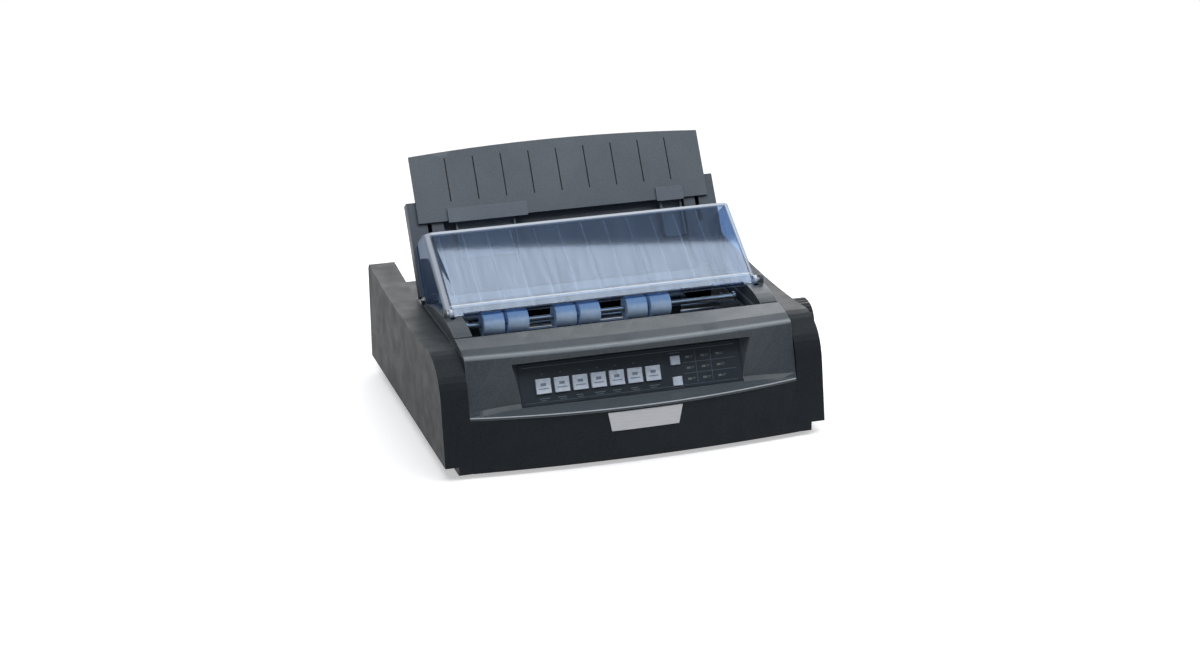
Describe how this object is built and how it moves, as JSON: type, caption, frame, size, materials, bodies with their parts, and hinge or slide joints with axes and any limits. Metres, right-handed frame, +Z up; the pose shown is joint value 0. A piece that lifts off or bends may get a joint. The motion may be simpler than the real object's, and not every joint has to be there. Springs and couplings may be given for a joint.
{
  "type": "wide-bed desktop dot matrix printer with tractor feed",
  "caption": "Desktop dot matrix printer with a smoked hinged access cover, raised paper separator, sloping key panel, platen, geared tractor feed and belt-driven print carriage.",
  "frame": {"origin": "middle of the footprint, on the plane the rubber feet stand on", "axes": "X runs along the width of the printer, positive to the side with the platen knob; Y runs from the bowed front with the key panel to the back; Z is up"},
  "size_m": [0.418, 0.345, 0.2523],
  "materials": {
    "charcoal_case": "fine moulded texture, matt",
    "grey_cover": "fine moulded texture, satin",
    "slate_separator": "fine moulded texture, satin",
    "panel_overlay": "matt overlay on plastic",
    "key_plastic": "smooth satin",
    "lamp_plastic": "translucent lens",
    "plate_metal": "brushed",
    "smoked_clear": "clear, smoked blue, polished",
    "dark_rubber": "matt rubber",
    "roller_rubber": "light rubber",
    "pressed_steel": "zinc plated",
    "ground_steel": "ground bright",
    "gear_nylon": "natural",
    "brass": "machined",
    "dark_mechanism": "matt",
    "motor_case": "painted",
    "circuit_board": "solder mask",
    "supply_parts": "plated"
  },
  "bodies": {
    "root": {"lower_case": "charcoal_case", "upper_case": "charcoal_case", "front_cover": "grey_cover", "side_rails": "grey_cover", "control_panel": "panel_overlay", "lamp_lenses": "lamp_plastic", "name_plate": "plate_metal", "rubber_feet": "dark_rubber", "case_screws": "pressed_steel", "left_frame": "pressed_steel", "right_frame": "pressed_steel", "base_plate": "pressed_steel", "platen_bushes": "brass", "guide_rods": "ground_steel", "carriage_belt": "dark_rubber", "space_motor": "motor_case", "feed_motor": "motor_case", "main_board": "circuit_board", "power_supply": "supply_parts", "ac_inlet": "dark_mechanism", "data_connector": "dark_mechanism"},
    "platen": {"platen_shaft": "ground_steel", "platen_roller": "dark_rubber", "platen_knob": "dark_mechanism", "platen_gear": "gear_nylon"},
    "tractor_drive": {"tractor_shaft": "ground_steel", "tractor_gear": "gear_nylon"},
    "carriage": {"carriage": "dark_mechanism", "print_head": "dark_mechanism", "ribbon_cartridge": "dark_mechanism"},
    "key_1": {"key_1": "key_plastic"},
    "key_2": {"key_2": "key_plastic"},
    "key_3": {"key_3": "key_plastic"},
    "key_4": {"key_4": "key_plastic"},
    "key_5": {"key_5": "key_plastic"},
    "key_6": {"key_6": "key_plastic"},
    "key_7": {"key_7": "key_plastic"},
    "mode_key": {"mode_key": "key_plastic"},
    "pitch_key": {"pitch_key": "key_plastic"},
    "access_cover": {"access_cover": "smoked_clear"},
    "paper_separator": {"paper_separator": "slate_separator"},
    "sheet_support": {"sheet_support": "slate_separator"},
    "left_sheet_guide": {"left_sheet_guide": "slate_separator"},
    "right_sheet_guide": {"right_sheet_guide": "slate_separator"},
    "bail": {"bail": "pressed_steel"},
    "bail_rollers": {"bail_rollers": "roller_rubber"},
    "drive_pulley": {"drive_pulley": "gear_nylon"},
    "idler_pulley": {"idler_pulley": "gear_nylon"},
    "motor_pinion": {"motor_pinion": "brass"},
    "front_idler": {"front_idler": "gear_nylon"},
    "rear_idler": {"rear_idler": "gear_nylon"},
    "left_tractor": {"left_tractor": "dark_mechanism"},
    "right_tractor": {"right_tractor": "dark_mechanism"},
    "left_sprocket": {"left_sprocket": "gear_nylon"},
    "right_sprocket": {"right_sprocket": "gear_nylon"},
    "left_door": {"left_door": "gear_nylon"},
    "right_door": {"right_door": "gear_nylon"},
    "paper_lever": {"paper_lever": "pressed_steel"},
    "gap_lever": {"gap_lever": "pressed_steel"},
    "power_switch": {"power_switch": "dark_mechanism"}
  },
  "joints": [
    {"name": "key_1_press", "type": "slide", "parent": "root", "child": "key_1", "axis": [0, 0.91, -0.4147], "range_m": [0, 0.0012], "stiffness_N_per_m": 300, "springref_m": -0.001},
    {"name": "key_2_press", "type": "slide", "parent": "root", "child": "key_2", "axis": [0, 0.91, -0.4147], "range_m": [0, 0.0012], "stiffness_N_per_m": 300, "springref_m": -0.001},
    {"name": "key_3_press", "type": "slide", "parent": "root", "child": "key_3", "axis": [0, 0.91, -0.4147], "range_m": [0, 0.0012], "stiffness_N_per_m": 300, "springref_m": -0.001},
    {"name": "key_4_press", "type": "slide", "parent": "root", "child": "key_4", "axis": [0, 0.91, -0.4147], "range_m": [0, 0.0012], "stiffness_N_per_m": 300, "springref_m": -0.001},
    {"name": "key_5_press", "type": "slide", "parent": "root", "child": "key_5", "axis": [0, 0.91, -0.4147], "range_m": [0, 0.0012], "stiffness_N_per_m": 300, "springref_m": -0.001},
    {"name": "key_6_press", "type": "slide", "parent": "root", "child": "key_6", "axis": [0, 0.91, -0.4147], "range_m": [0, 0.0012], "stiffness_N_per_m": 300, "springref_m": -0.001},
    {"name": "key_7_press", "type": "slide", "parent": "root", "child": "key_7", "axis": [0, 0.91, -0.4147], "range_m": [0, 0.0012], "stiffness_N_per_m": 300, "springref_m": -0.001},
    {"name": "mode_key_press", "type": "slide", "parent": "root", "child": "mode_key", "axis": [0, 0.91, -0.4147], "range_m": [0, 0.0012], "stiffness_N_per_m": 300, "springref_m": -0.001},
    {"name": "pitch_key_press", "type": "slide", "parent": "root", "child": "pitch_key", "axis": [0, 0.91, -0.4147], "range_m": [0, 0.0012], "stiffness_N_per_m": 300, "springref_m": -0.001},
    {"name": "access_cover_hinge", "type": "hinge", "parent": "root", "child": "access_cover", "pos_m": [-0.01, -0.0505, 0.134], "axis": [1, 0, 0], "range_deg": [0, 85]},
    {"name": "separator_hinge", "type": "hinge", "parent": "root", "child": "paper_separator", "pos_m": [-0.01, 0.0495, 0.114], "axis": [1, 0, 0], "range_deg": [-50, 0]},
    {"name": "sheet_support_slide", "type": "slide", "parent": "paper_separator", "child": "sheet_support", "axis": [0, 0.5299, 0.848], "range_m": [-0.026, 0]},
    {"name": "left_guide_slide", "type": "slide", "parent": "sheet_support", "child": "left_sheet_guide", "axis": [1, 0, 0], "range_m": [-0.01, 0.05]},
    {"name": "right_guide_slide", "type": "slide", "parent": "sheet_support", "child": "right_sheet_guide", "axis": [1, 0, 0], "range_m": [-0.09, 0.001]},
    {"name": "platen_turn", "type": "hinge", "parent": "root", "child": "platen", "pos_m": [-0.01, -0.059, 0.088], "axis": [1, 0, 0], "continuous": true},
    {"name": "front_idler_turn", "type": "hinge", "parent": "root", "child": "front_idler", "pos_m": [-0.169, -0.0245, 0.088], "axis": [1, 0, 0], "continuous": true},
    {"name": "rear_idler_turn", "type": "hinge", "parent": "root", "child": "rear_idler", "pos_m": [-0.169, -0.007, 0.088], "axis": [1, 0, 0], "continuous": true},
    {"name": "tractor_turn", "type": "hinge", "parent": "root", "child": "tractor_drive", "pos_m": [-0.01, 0.018, 0.088], "axis": [1, 0, 0], "continuous": true},
    {"name": "pinion_turn", "type": "hinge", "parent": "root", "child": "motor_pinion", "pos_m": [-0.169, -0.0245, 0.0735], "axis": [1, 0, 0], "continuous": true},
    {"name": "left_tractor_slide", "type": "slide", "parent": "root", "child": "left_tractor", "axis": [1, 0, 0], "range_m": [0, 0.04]},
    {"name": "right_tractor_slide", "type": "slide", "parent": "root", "child": "right_tractor", "axis": [1, 0, 0], "range_m": [-0.15, 0]},
    {"name": "left_sprocket_turn", "type": "hinge", "parent": "left_tractor", "child": "left_sprocket", "pos_m": [-0.131, 0.018, 0.088], "axis": [1, 0, 0], "continuous": true},
    {"name": "right_sprocket_turn", "type": "hinge", "parent": "right_tractor", "child": "right_sprocket", "pos_m": [0.083, 0.018, 0.088], "axis": [1, 0, 0], "continuous": true},
    {"name": "left_door_hinge", "type": "hinge", "parent": "left_tractor", "child": "left_door", "pos_m": [-0.141, 0.018, 0.103], "axis": [0, -1, 0], "range_deg": [0, 100]},
    {"name": "right_door_hinge", "type": "hinge", "parent": "right_tractor", "child": "right_door", "pos_m": [0.093, 0.018, 0.103], "axis": [0, 1, 0], "range_deg": [0, 100]},
    {"name": "bail_lift", "type": "hinge", "parent": "root", "child": "bail", "pos_m": [-0.01, -0.0005, 0.1], "axis": [1, 0, 0], "range_deg": [-8, 0]},
    {"name": "bail_rollers_turn", "type": "hinge", "parent": "bail", "child": "bail_rollers", "pos_m": [-0.01, -0.039, 0.114], "axis": [1, 0, 0], "continuous": true},
    {"name": "carriage_slide", "type": "slide", "parent": "root", "child": "carriage", "axis": [1, 0, 0], "range_m": [-0.21, 0]},
    {"name": "drive_pulley_turn", "type": "hinge", "parent": "root", "child": "drive_pulley", "pos_m": [-0.138, -0.1065, 0.041], "axis": [0, 0, 1], "continuous": true},
    {"name": "idler_pulley_turn", "type": "hinge", "parent": "root", "child": "idler_pulley", "pos_m": [0.118, -0.1065, 0.041], "axis": [0, 0, 1], "continuous": true},
    {"name": "paper_lever_swing", "type": "hinge", "parent": "root", "child": "paper_lever", "pos_m": [-0.173, 0.0595, 0.07], "axis": [1, 0, 0], "range_deg": [-15, 0]},
    {"name": "gap_lever_swing", "type": "hinge", "parent": "root", "child": "gap_lever", "pos_m": [0.1295, -0.1065, 0.06], "axis": [1, 0, 0], "range_deg": [-12, 0]},
    {"name": "power_switch_rock", "type": "hinge", "parent": "root", "child": "power_switch", "pos_m": [0.07, 0.168, 0.042], "axis": [1, 0, 0], "range_deg": [-14, 0]}
  ],
  "couplings": [
    {"joint": "front_idler_turn", "follows": "platen_turn", "ratio": -3.0588},
    {"joint": "rear_idler_turn", "follows": "platen_turn", "ratio": 2.8889},
    {"joint": "tractor_turn", "follows": "platen_turn", "ratio": -1.625},
    {"joint": "pinion_turn", "follows": "platen_turn", "ratio": 4.3333},
    {"joint": "left_sprocket_turn", "follows": "platen_turn", "ratio": -1.625},
    {"joint": "right_sprocket_turn", "follows": "platen_turn", "ratio": -1.625},
    {"joint": "bail_rollers_turn", "follows": "platen_turn", "ratio": -1.6},
    {"joint": "drive_pulley_turn", "follows": "carriage_slide", "rad_per_m": 90.498},
    {"joint": "idler_pulley_turn", "follows": "carriage_slide", "rad_per_m": 90.498}
  ]
}
